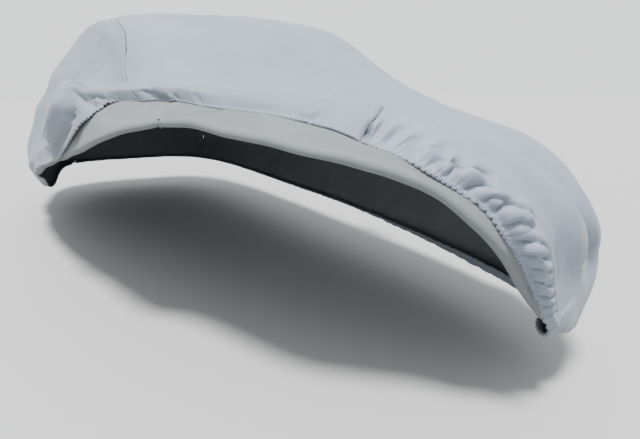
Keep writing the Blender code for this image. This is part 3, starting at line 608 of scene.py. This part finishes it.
# %% Gathers
GATHER_COLUMNS = ("around", "depth", "reach", "spacing")
GATHERS = (
    (-3.00, 0.012, 0.16, 0.070),
    (-2.00, 0.012, 0.16, 0.070),
    (-1.75, 0.008, 0.10, 0.050),
    (-1.50, 0.005, 0.08, 0.045),
    (-1.25, 0.006, 0.08, 0.045),
    (-1.10, 0.005, 0.07, 0.042),
    (-1.00, 0.005, 0.07, 0.040),
    (-0.60, 0.005, 0.07, 0.040),
    (-0.36, 0.007, 0.09, 0.044),
    (-0.20, 0.005, 0.09, 0.042),
    (0.00, 0.005, 0.09, 0.040),
    (0.30, 0.006, 0.08, 0.038),
    (0.50, 0.010, 0.12, 0.050),
    (0.80, 0.011, 0.16, 0.065),
    (1.10, 0.012, 0.16, 0.070),
    (3.00, 0.012, 0.16, 0.070),
)
GATHER_AT = {name: column_of(GATHERS, GATHER_COLUMNS, name) for name in GATHER_COLUMNS}
hem_middles = 0.5 * (HEM_PLACES[1:] + HEM_PLACES[:-1])
hem_spacing = np.interp(hem_middles, GATHER_AT["around"], GATHER_AT["spacing"])
GATHER_TURNS = np.concatenate([[0.0], np.cumsum(hem_steps / hem_spacing)])
SMALL_PER_BIG = 2.3
SMALL_RISE, SMALL_REACH = 0.0052, 0.032
EDGE_DRAW, DRAW_REACH = 0.0034, 0.010


def pleats(turns, keen):
    """Rounded puffs with narrow pleats between them, 0 to 1, one for each turn."""
    return np.abs(np.sin(math.pi * turns)) ** keen


def gather_height(places, climb):
    """Height and in-plane draw of the gathers at the columns' places and the climb from the hem."""
    run = hem_run(places)
    turns = np.interp(places, HEM_PLACES, GATHER_TURNS)
    turns = turns + 0.34 * np.sin(run / 0.083) + 0.22 * np.sin(run / 0.037 + 1.3)
    depth = np.interp(places, GATHER_AT["around"], GATHER_AT["depth"])
    reach = np.interp(places, GATHER_AT["around"], GATHER_AT["reach"])
    uneven = 0.72 + 0.28 * np.sin(run / 0.061 + 0.7) * np.sin(run / 0.149)
    far = climb / (reach * (0.85 + 0.35 * np.sin(run / 0.101 + 2.0)))
    swell = ease(climb / 0.035) * (1.0 - ease((far - 0.25) / 0.75))
    lean = turns + 3.15 * climb * np.sin(run / 0.31)
    big = depth * uneven * swell * (pleats(lean, 0.55) - 0.25)
    fine = 0.65 + 0.35 * np.sin(run / 0.047 + 0.5)
    small_turns = turns * SMALL_PER_BIG
    small = SMALL_RISE * fine * (pleats(small_turns + 0.2, 0.6) - 0.3)
    small = small * np.exp(-((climb / SMALL_REACH) ** 2))
    draw = EDGE_DRAW * np.sin(2.0 * math.pi * small_turns) * np.exp(-((climb / DRAW_REACH) ** 2))
    return big + small, draw


# %% Slack in the cloth
# rise, length and phase of each wave, the shorter ones lower
SLACK_WAVES = tuple(((0.0018 + 0.0005 * (k % 3)) * 0.70**k, 0.42 / (1.0 + 0.42 * k), 2.4 * k)
                    for k in range(9))


def slack_height(points):
    """Soft unevenness of the slack cloth, from a few long waves in different directions."""
    height = np.zeros(points.shape[:-1])
    for k, (rise, length, phase) in enumerate(SLACK_WAVES):
        way = np.array([math.cos(1.9 * k + 0.4), math.sin(1.9 * k + 0.4), 0.8 * math.cos(2.7 * k)])
        bent = points @ np.roll(way, 1) * 2.0
        height += rise * np.sin(2.0 * math.pi * (points @ way) / length + phase
                                + 0.8 * np.sin(bent / length + k))
    return height


# %% [markdown]
# ## Making a panel
# The grid is measured first: its normals, the length climbed from the hem and the distance from
# each seam. Heights are added along the normals, the hem is rolled under into its elastic casing,
# and the faces are made row by row. The distances stay on the mesh as attributes, because the
# stitching in the cloth's material follows them.

# %% Grid measures
def grid_normals(points):
    """Unit normals of a grid of points, rows by columns."""
    down = np.gradient(points, axis=0)
    across = np.gradient(points, axis=1)
    normal = np.cross(across, down)
    length = np.linalg.norm(normal, axis=-1, keepdims=True)
    return normal / np.maximum(length, 1e-12)


def climbed(points):
    """Length from the hem to each row along its column."""
    step = np.linalg.norm(np.diff(points, axis=0), axis=-1)
    return np.concatenate([np.zeros((1, points.shape[1])), np.cumsum(step, axis=0)])


def seam_pucker(gap, run):
    """A seam pulls a narrow groove with a soft welt and small puckers on each side."""
    seam_groove_and_painted_shade = -0.0042 * np.exp(-((gap / 0.0050) ** 2))
    welt = 0.0034 * np.exp(-(((gap - 0.014) / 0.007) ** 2))
    ripple = 0.0016 * np.sin(run / 0.0052 + 1.7 * np.sin(run / 0.043))
    ripple = ripple * np.exp(-((gap / 0.022) ** 2))
    return seam_groove_and_painted_shade + welt + ripple * ease(gap / 0.004)


CASING_RADIUS, CASING_TURN_UNDER = 0.0042, 0.014


def roll_hem(points, normal):
    """Extra rows before the hem: the edge rolled under into the elastic's casing."""
    up = points[2] - points[0]
    up /= np.maximum(np.linalg.norm(up, axis=-1, keepdims=True), 1e-9)
    rows = [points[0] - 2.0 * CASING_RADIUS * normal[0] + up * CASING_TURN_UNDER]
    for k in range(1, HEM_ROWS):
        angle = math.pi * (HEM_ROWS - k) / (HEM_ROWS - 1)
        rows.append(points[0] - normal[0] * CASING_RADIUS * (1.0 - math.cos(angle))
                    - up * CASING_RADIUS * math.sin(angle))
    return np.array(rows)


# %% Panel meshes
def roof(across, along):
    """Points of the roof between its four edges; across is -1 to 1, along 0 (front) to 1."""
    front = cloth_at(across, TOP, 0.0)
    rear = cloth_at(np.where(across < 0.0, -1.0, 1.0) * (3.0 - np.abs(across)), TOP, 0.0)
    right = cloth_at(-1.0 - along, TOP, 0.0)
    left = cloth_at(1.0 + along, TOP, 0.0)
    s = ((across + 1.0) / 2.0)[None, :, None]
    t = along[:, None, None]
    corners = ((1 - s) * (1 - t) * front[0] + s * (1 - t) * front[-1]
               + (1 - s) * t * rear[0] + s * t * rear[-1])
    points = ((1 - t) * front[None] + t * rear[None] + (1 - s) * right[:, None]
              + s * left[:, None] - corners)
    points[..., 2] += ROOF_CROWN * 4.0 * (t * (1 - t))[..., 0] * (1.0 - across**2)[None, :]
    return points


def add_attribute(mesh, name, values):
    layer = mesh.attributes.new(name, "FLOAT", "POINT")
    layer.data.foreach_set("value", np.ascontiguousarray(values, dtype=np.float32).ravel())


def join_blocks(blocks):
    """Faces of the blocks of a mesh. Where a block has fewer columns than the one before it, a
    face of its first row meets several points of that block."""
    faces = []
    start = 0
    before = None
    for block in blocks:
        ids = block["ids"]
        grid = start + np.arange(len(block["gap"].ravel())).reshape(block["gap"].shape)
        if before is not None:
            low_ids, low = before
            shared = np.intersect1d(low_ids, ids)
            for a, b in zip(shared[:-1], shared[1:]):
                below = low[(low_ids >= a) & (low_ids <= b)]
                above = grid[0][(ids >= a) & (ids <= b)]
                faces.append([*below.tolist(), *above[::-1].tolist()])
        quads = np.stack([grid[:-1, :-1], grid[:-1, 1:], grid[1:, 1:], grid[1:, :-1]], axis=-1)
        faces += quads.reshape(-1, 4).tolist()
        before = (ids, grid[-1])
        start += grid.size
    return faces


def cloth_mesh(name, blocks, flipped):
    """A mesh of blocks of rows and columns, with stitching distances and a UV map in metres."""
    faces = join_blocks(blocks)
    if flipped:
        faces = [face[::-1] for face in faces]
    points = np.concatenate([block["points"].reshape(-1, 3) for block in blocks])
    mesh = bpy.data.meshes.new(name)
    mesh.from_pydata((points - REST).tolist(), [], faces)
    for key, title in (("gap", "seam_gap"), ("run", "seam_run"), ("hem", "hem_gap")):
        add_attribute(mesh, title, np.concatenate([block[key].ravel() for block in blocks]))
    uv = np.concatenate([block["uv"].reshape(-1, 2) for block in blocks])
    layer = mesh.uv_layers.new(name="cloth_metres")
    layer.data.foreach_set("uv", uv[np.concatenate(faces)].astype(np.float32).ravel())
    mesh.shade_smooth()
    mesh.update()
    piece = bpy.data.objects.new(name, mesh)
    bpy.context.scene.collection.objects.link(piece)
    return piece


def block_of(ids, keep, points, gap, run, hem, uv):
    """A block of a mesh from whole rows, with only the columns in keep."""
    values = {"points": points, "gap": gap, "run": run, "hem": hem, "uv": uv}
    block = {key: value[:, keep] for key, value in values.items()}
    block["ids"] = ids[keep]
    return block


def seam_distance(points, columns):
    """Distance of each point to the nearer of the named seam columns, and the run along it."""
    gaps = np.stack([np.linalg.norm(points - points[:, [c]], axis=-1) for c in columns])
    runs = np.stack([np.broadcast_to(climbed(points)[:, [c]], points.shape[:2])
                     for c in columns])
    nearest = np.argmin(gaps, axis=0)
    return (np.take_along_axis(gaps, nearest[None], 0)[0],
            np.take_along_axis(runs, nearest[None], 0)[0])


def dressed_skirt(places):
    """A skirt with creases, gathers, slack and rolled hem, and its seam and hem distances."""
    points = skirt(places)
    normal = grid_normals(points)
    middle = len(places) // 2
    up_row = len(ROW_PLACE) - 3
    sign = np.sign(np.sum(normal[up_row, middle] * outward(places[middle], TOP - 0.5)))
    facing = ROW_FACING[:, None]
    # where the skirt hangs straight its layers don't turn
    opened = peel_place(places)["open"][None, :]
    facing = facing * ease(opened * 4.0) + (1.0 - ease(opened * 4.0))
    climb = climbed(points)
    gap, run = seam_distance(points, (0, -1))
    height = crease_height(points, places, ROW_PLACE, ROW_FACING)
    gathers, draw = gather_height(places[None, :], climb)
    height = height + slack_height(points) * ease(climb / 0.2)
    height = height * facing + (gathers + seam_pucker(gap, run)) * facing
    outer = normal * sign
    moved = points + outer * height[..., None]
    up = points[1:2] - points[0:1]
    up /= np.maximum(np.linalg.norm(up, axis=-1, keepdims=True), 1e-9)
    moved += up * draw[..., None]
    hem = roll_hem(moved, grid_normals(moved) * sign)
    moved = np.concatenate([hem, moved])
    pad = [(HEM_ROWS, 0), (0, 0)]
    climb = np.concatenate([-climbed(hem)[::-1], climb])
    return moved, np.pad(gap, pad, "edge"), np.pad(run, pad, "edge"), climb, sign


# %% The side panels
def skirt_blocks(places, columns, keep):
    """The folded rows of a skirt with all its columns, and the body above with those in keep."""
    points, gap, run, climb, sign = dressed_skirt(places)
    uv = np.stack([np.broadcast_to(hem_run(places), climb.shape), climb], axis=-1)
    split = HEM_ROWS + TURNED_ROWS
    folded = block_of(columns, slice(None), points[:split], gap[:split], run[:split],
                      np.abs(climb)[:split], uv[:split])
    body = block_of(columns, keep, points[split:], gap[split:], run[split:],
                    np.abs(climb)[split:], uv[split:])
    return folded, body, sign


def side_panel(name, start, end, count):
    places = close_columns(start, end, count)
    columns = np.arange(len(places))
    folded, body, sign = skirt_blocks(places, columns, plain_columns(places))
    return cloth_mesh(name, [folded, body], sign < 0)


right_cloth = side_panel("side_cloth_right", -1.0, -2.0, SIDE_COLUMNS)
left_cloth = side_panel("side_cloth_left", 1.0, 2.0, LEFT_COLUMNS)
for piece in (right_cloth, left_cloth):
    print(piece.name, len(piece.data.polygons), "faces")

# %% The top panel, from the front hem over the roof to the rear hem
ROOF_ROWS = 34
REAR_HEM_ROWS = 8
ROOF_UV, REAR_UV = 2.4, 6.0
FAR_FROM_HEM = 5.0


def roof_block(places, columns):
    """The rows of the roof between the front and the rear skirt."""
    flat = roof(places, np.linspace(0.0, 1.0, ROOF_ROWS + 2)[1:-1])
    gap, run = seam_distance(flat, (0, -1))
    normal = grid_normals(flat)
    normal *= np.sign(normal[..., 2:3])
    points = flat + normal * (slack_height(flat) + seam_pucker(gap, run))[..., None]
    length = ROOF_UV + climbed(points)
    uv = np.stack([np.broadcast_to(hem_run(places), length.shape), length], axis=-1)
    return block_of(columns, slice(None), points, gap, run, np.full(gap.shape, FAR_FROM_HEM), uv)


def rear_block(places, columns):
    """The rear skirt, from the roof down to its hem, in two halves that meet in the middle."""
    mirrored = np.where(places < 0.0, -1.0, 1.0) * (3.0 - np.abs(places))
    middle = int(np.argmin(np.abs(places)))
    halves = [dressed_skirt(mirrored[:middle + 1]), dressed_skirt(mirrored[middle:])]
    points, run, climb = (np.concatenate([halves[0][i], halves[1][i][:, 1:]], axis=1)[::-1]
                          for i in (0, 2, 3))
    gap = np.minimum(np.linalg.norm(points - points[:, :1], axis=-1),
                     np.linalg.norm(points - points[:, -1:], axis=-1))
    uv = np.stack([np.broadcast_to(hem_run(places), climb.shape), REAR_UV - climb], axis=-1)
    # every second row will do on the plain cloth above the hem
    plain = MAIN_ROWS + TURNED_ROWS - REAR_HEM_ROWS
    few = np.concatenate([np.arange(0, plain, 2), np.arange(plain, len(points))])
    return block_of(columns, slice(None), points[few], gap[few], run[few],
                    np.abs(climb)[few], uv[few])


def top_panel(name):
    places = close_columns(-1.0, 1.0, FRONT_COLUMNS)
    columns = np.arange(len(places))
    keep = plain_columns(places)
    folded, body, sign = skirt_blocks(places, columns, keep)
    blocks = [folded, body, roof_block(places[keep], columns[keep]),
              rear_block(places[keep], columns[keep])]
    return cloth_mesh(name, blocks, sign < 0)


top_cloth = top_panel("top_cloth_panel")
print(top_cloth.name, len(top_cloth.data.polygons), "faces")

# %% [markdown]
# ## The cloth's two faces
# The cover is a laminate: a matt blue-grey outer face, pressed with fine dimples, and a paler,
# warmer inner face of soft fleece. The colour wanders a little, as it does on any nonwoven, and
# small bumps carry the fibres, the dimples and the stitching. The side panels' outer face is a
# darker copy, painted shade, and each seam line is painted darker as shade in its groove.

# %% A small class for shader maths
class Wire:
    """A socket of a material's node tree, on which Python operators add Math nodes."""

    def __init__(self, tree, socket):
        self.tree = tree
        self.socket = socket

    def node(self, kind, settings=None, inputs=None, out=0):
        made = self.tree.nodes.new(kind)
        for key, value in (settings or {}).items():
            setattr(made, key, value)
        for key, value in (inputs or {}).items():
            if isinstance(value, Wire):
                self.tree.links.new(value.socket, made.inputs[key])
            else:
                made.inputs[key].default_value = value
        return Wire(self.tree, made.outputs[out])

    def math(self, operation, other=None):
        inputs = {0: self} if other is None else {0: self, 1: other}
        return self.node("ShaderNodeMath", {"operation": operation}, inputs)

    def __add__(self, other):
        return self.math("ADD", other)

    def __mul__(self, other):
        return self.math("MULTIPLY", other)

    def __sub__(self, other):
        return self.math("SUBTRACT", other)

    def __rsub__(self, other):
        return (self * -1.0) + other

    def __truediv__(self, other):
        return self.math("DIVIDE", other)

    def clamp(self):
        return self.math("MINIMUM", 1.0).math("MAXIMUM", 0.0)

    def mix(self, first, second):
        """Colour from the first, where this value is 0, to the second, where it is 1."""
        return self.node("ShaderNodeMix", {"data_type": "RGBA"},
                         {"Factor": self.clamp(), 6: first, 7: second}, out=2)


# %% Patterns of the cloth
def noise(place, scale, detail=3.0, rough=0.55):
    return place.node("ShaderNodeTexNoise", {}, {"Vector": place, "Scale": scale,
                                                 "Detail": detail, "Roughness": rough})


def near_line(value, at, width):
    """1 where the value is close to at, falling to 0 within the width."""
    return 1.0 - ((value - at).math("ABSOLUTE") / width).clamp()


STITCH, THREAD = 0.0045, 0.0014


def stitches(seam_gap, seam_run, hem_gap):
    """Two rows of stitches beside each seam and one above the hem's casing."""
    beat = (seam_run * (2.0 * math.pi / STITCH)).math("SINE") * 0.5 + 0.5
    rows = near_line(seam_gap, 0.004, THREAD).math("MAXIMUM", near_line(seam_gap, 0.010, THREAD))
    hem = near_line(hem_gap, 0.014, 0.0016)
    return (rows * (beat * 0.7 + 0.3)).math("MAXIMUM", hem * 0.8)


# %% The two finishes
def cloth_material(name, dark, light, fibre, dimples, roughness):
    material = bpy.data.materials.new(name)
    material.use_nodes = True
    tree = material.node_tree
    shader = tree.nodes["Principled BSDF"]
    place = Wire(tree, tree.nodes.new("ShaderNodeTexCoord").outputs["Object"])
    read = {key: place.node("ShaderNodeAttribute", {"attribute_name": key}, {}, out=2)
            for key in ("seam_gap", "seam_run", "hem_gap")}
    broad = noise(place, 2.3, 4.0)
    patches = noise(place, 11.0, 5.0, 0.65)
    fibres = noise(place, 240.0, 4.0, 0.7)
    sewn = stitches(read["seam_gap"], read["seam_run"], read["hem_gap"])
    tone = broad * 0.45 + patches * 0.40 + fibres * 0.15
    # the colour is made darker close to each seam and close to the hem edge
    darker_by_seams_and_hem = near_line(read["seam_gap"], 0.0, 0.007) * 0.30
    darker_by_seams_and_hem = darker_by_seams_and_hem + near_line(read["hem_gap"], 0.0, 0.010) * 0.18
    colour = ((tone - 0.30) * 2.4 - darker_by_seams_and_hem - sewn * 0.12).mix((*dark, 1.0), (*light, 1.0))
    # painted shade: each seam line is darkened towards 0.30 of the dark tone, a painted shadow in
    # the seam's groove
    seam_groove_and_painted_shade = near_line(read["seam_gap"], 0.0, 0.006) * 0.85
    colour = seam_groove_and_painted_shade.mix(colour, (*(0.30 * v for v in dark), 1.0))
    tree.links.new(colour.socket, shader.inputs["Base Color"])
    rough = fibres * 0.10 + patches * 0.10 + (roughness - 0.10)
    tree.links.new(rough.socket, shader.inputs["Roughness"])
    shader.inputs["Specular IOR Level"].default_value = 0.35
    shader.inputs["Sheen Weight"].default_value = 0.10
    shader.inputs["Sheen Roughness"].default_value = 0.45
    crumple = noise(place, 16.0, 3.0, 0.5)
    dimple = place.node("ShaderNodeTexVoronoi", {"feature": "F1"},
                        {"Vector": place, "Scale": 420.0, "Randomness": 0.35})
    relief = (crumple * 0.0030 + patches * 0.0012 + fibres * fibre + dimple * dimples
              - sewn * 0.0006)
    bump = place.node("ShaderNodeBump", {}, {"Height": relief, "Strength": 0.75, "Distance": 1.0})
    tree.links.new(bump.socket, shader.inputs["Normal"])
    return material


outer_top = cloth_material("outer_cloth_top", (0.155, 0.184, 0.228), (0.205, 0.236, 0.284),
                           0.00010, 0.00012, 0.66)
# painted shade: the side panels get a copy of the outer cloth with darker colours than the top's,
# as shade on the sides
outer_side_painted_shade = cloth_material("outer_cloth_side_painted_shade", (0.145, 0.170, 0.205), (0.188, 0.214, 0.254),
                            0.00010, 0.00012, 0.68)
inner_face = cloth_material("inner_fleece", (0.112, 0.124, 0.130), (0.150, 0.162, 0.170),
                            0.00022, 0.0, 0.88)
print("finishes", outer_top.name, outer_side_painted_shade.name, inner_face.name)

# %% Thickness, finish and place of each panel
CLOTH_THICKNESS = 0.0016


def finish_panel(piece, outer, node):
    piece.data.materials.append(outer)
    piece.data.materials.append(inner_face)
    thick = piece.modifiers.new("thickness", "SOLIDIFY")
    thick.thickness = CLOTH_THICKNESS
    thick.offset = 0.0
    thick.material_offset = 1
    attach(piece, "root")
    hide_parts(node)


finish_panel(top_cloth, outer_top, "top_panel")
finish_panel(right_cloth, outer_side_painted_shade, "side_panel_right")
finish_panel(left_cloth, outer_side_painted_shade, "side_panel_left")

# %% [markdown]
# ## Floor, light and camera
# A pale floor and soft studio light keep the folds readable. A bright even sky gives most of the
# light, and one wide sun from high over the front right draws the folds.

# %% Floor
bpy.ops.object.select_all(action="DESELECT")
bpy.ops.mesh.primitive_plane_add(size=60.0, location=(0.0, 0.0, -REST[2] - 0.001))
floor = bpy.context.object
floor.name = "floor"
floor_finish = bpy.data.materials.new("pale_floor")
floor_finish.use_nodes = True
floor_shader = floor_finish.node_tree.nodes["Principled BSDF"]
floor_shader.inputs["Base Color"].default_value = (0.34, 0.34, 0.34, 1.0)
floor_shader.inputs["Roughness"].default_value = 0.9
floor.data.materials.append(floor_finish)

# %% Light
world = bpy.data.worlds.new("studio")
bpy.context.scene.world = world
world.use_nodes = True
background = world.node_tree.nodes["Background"]
background.inputs["Color"].default_value = (0.97, 0.985, 1.0, 1.0)
background.inputs["Strength"].default_value = 1.5

SUN_DIRECTION = Vector((0.22, 0.22, -0.95))
key = bpy.data.lights.new("key", "SUN")
key.energy = 9.2
key.angle = math.radians(12.0)  # a wide sun has soft shadows
sun = bpy.data.objects.new("key", key)
bpy.context.scene.collection.objects.link(sun)
sun.matrix_world = SUN_DIRECTION.to_track_quat("-Z", "Y").to_matrix().to_4x4()

# %% Camera at the photograph's angle
AZIMUTH, ELEVATION, ROLL = (math.radians(v) for v in (19.15, -9.4, -0.6))
ahead = Vector((math.sin(AZIMUTH) * math.cos(ELEVATION), math.cos(AZIMUTH) * math.cos(ELEVATION),
                math.sin(ELEVATION)))
level_right = ahead.cross(Vector((0.0, 0.0, 1.0))).normalized()
level_up = level_right.cross(ahead)
right = math.cos(ROLL) * level_right + math.sin(ROLL) * level_up
up = -math.sin(ROLL) * level_right + math.cos(ROLL) * level_up
camera = bpy.data.objects.new("camera", bpy.data.cameras.new("camera"))
bpy.context.scene.collection.objects.link(camera)
turned = Matrix((right, up, -ahead)).transposed().to_4x4()
camera.matrix_world = Matrix.Translation((-1.245, -2.965 - REST[1], 1.006 - REST[2])) @ turned
camera.data.sensor_width = 36.0
camera.data.lens = 36.0 * 507.0 / 640.0
camera.data.shift_x = 0.2334
camera.data.shift_y = -0.0833
camera.data.clip_start = 0.05
camera.data.clip_end = 200.0
bpy.context.scene.camera = camera
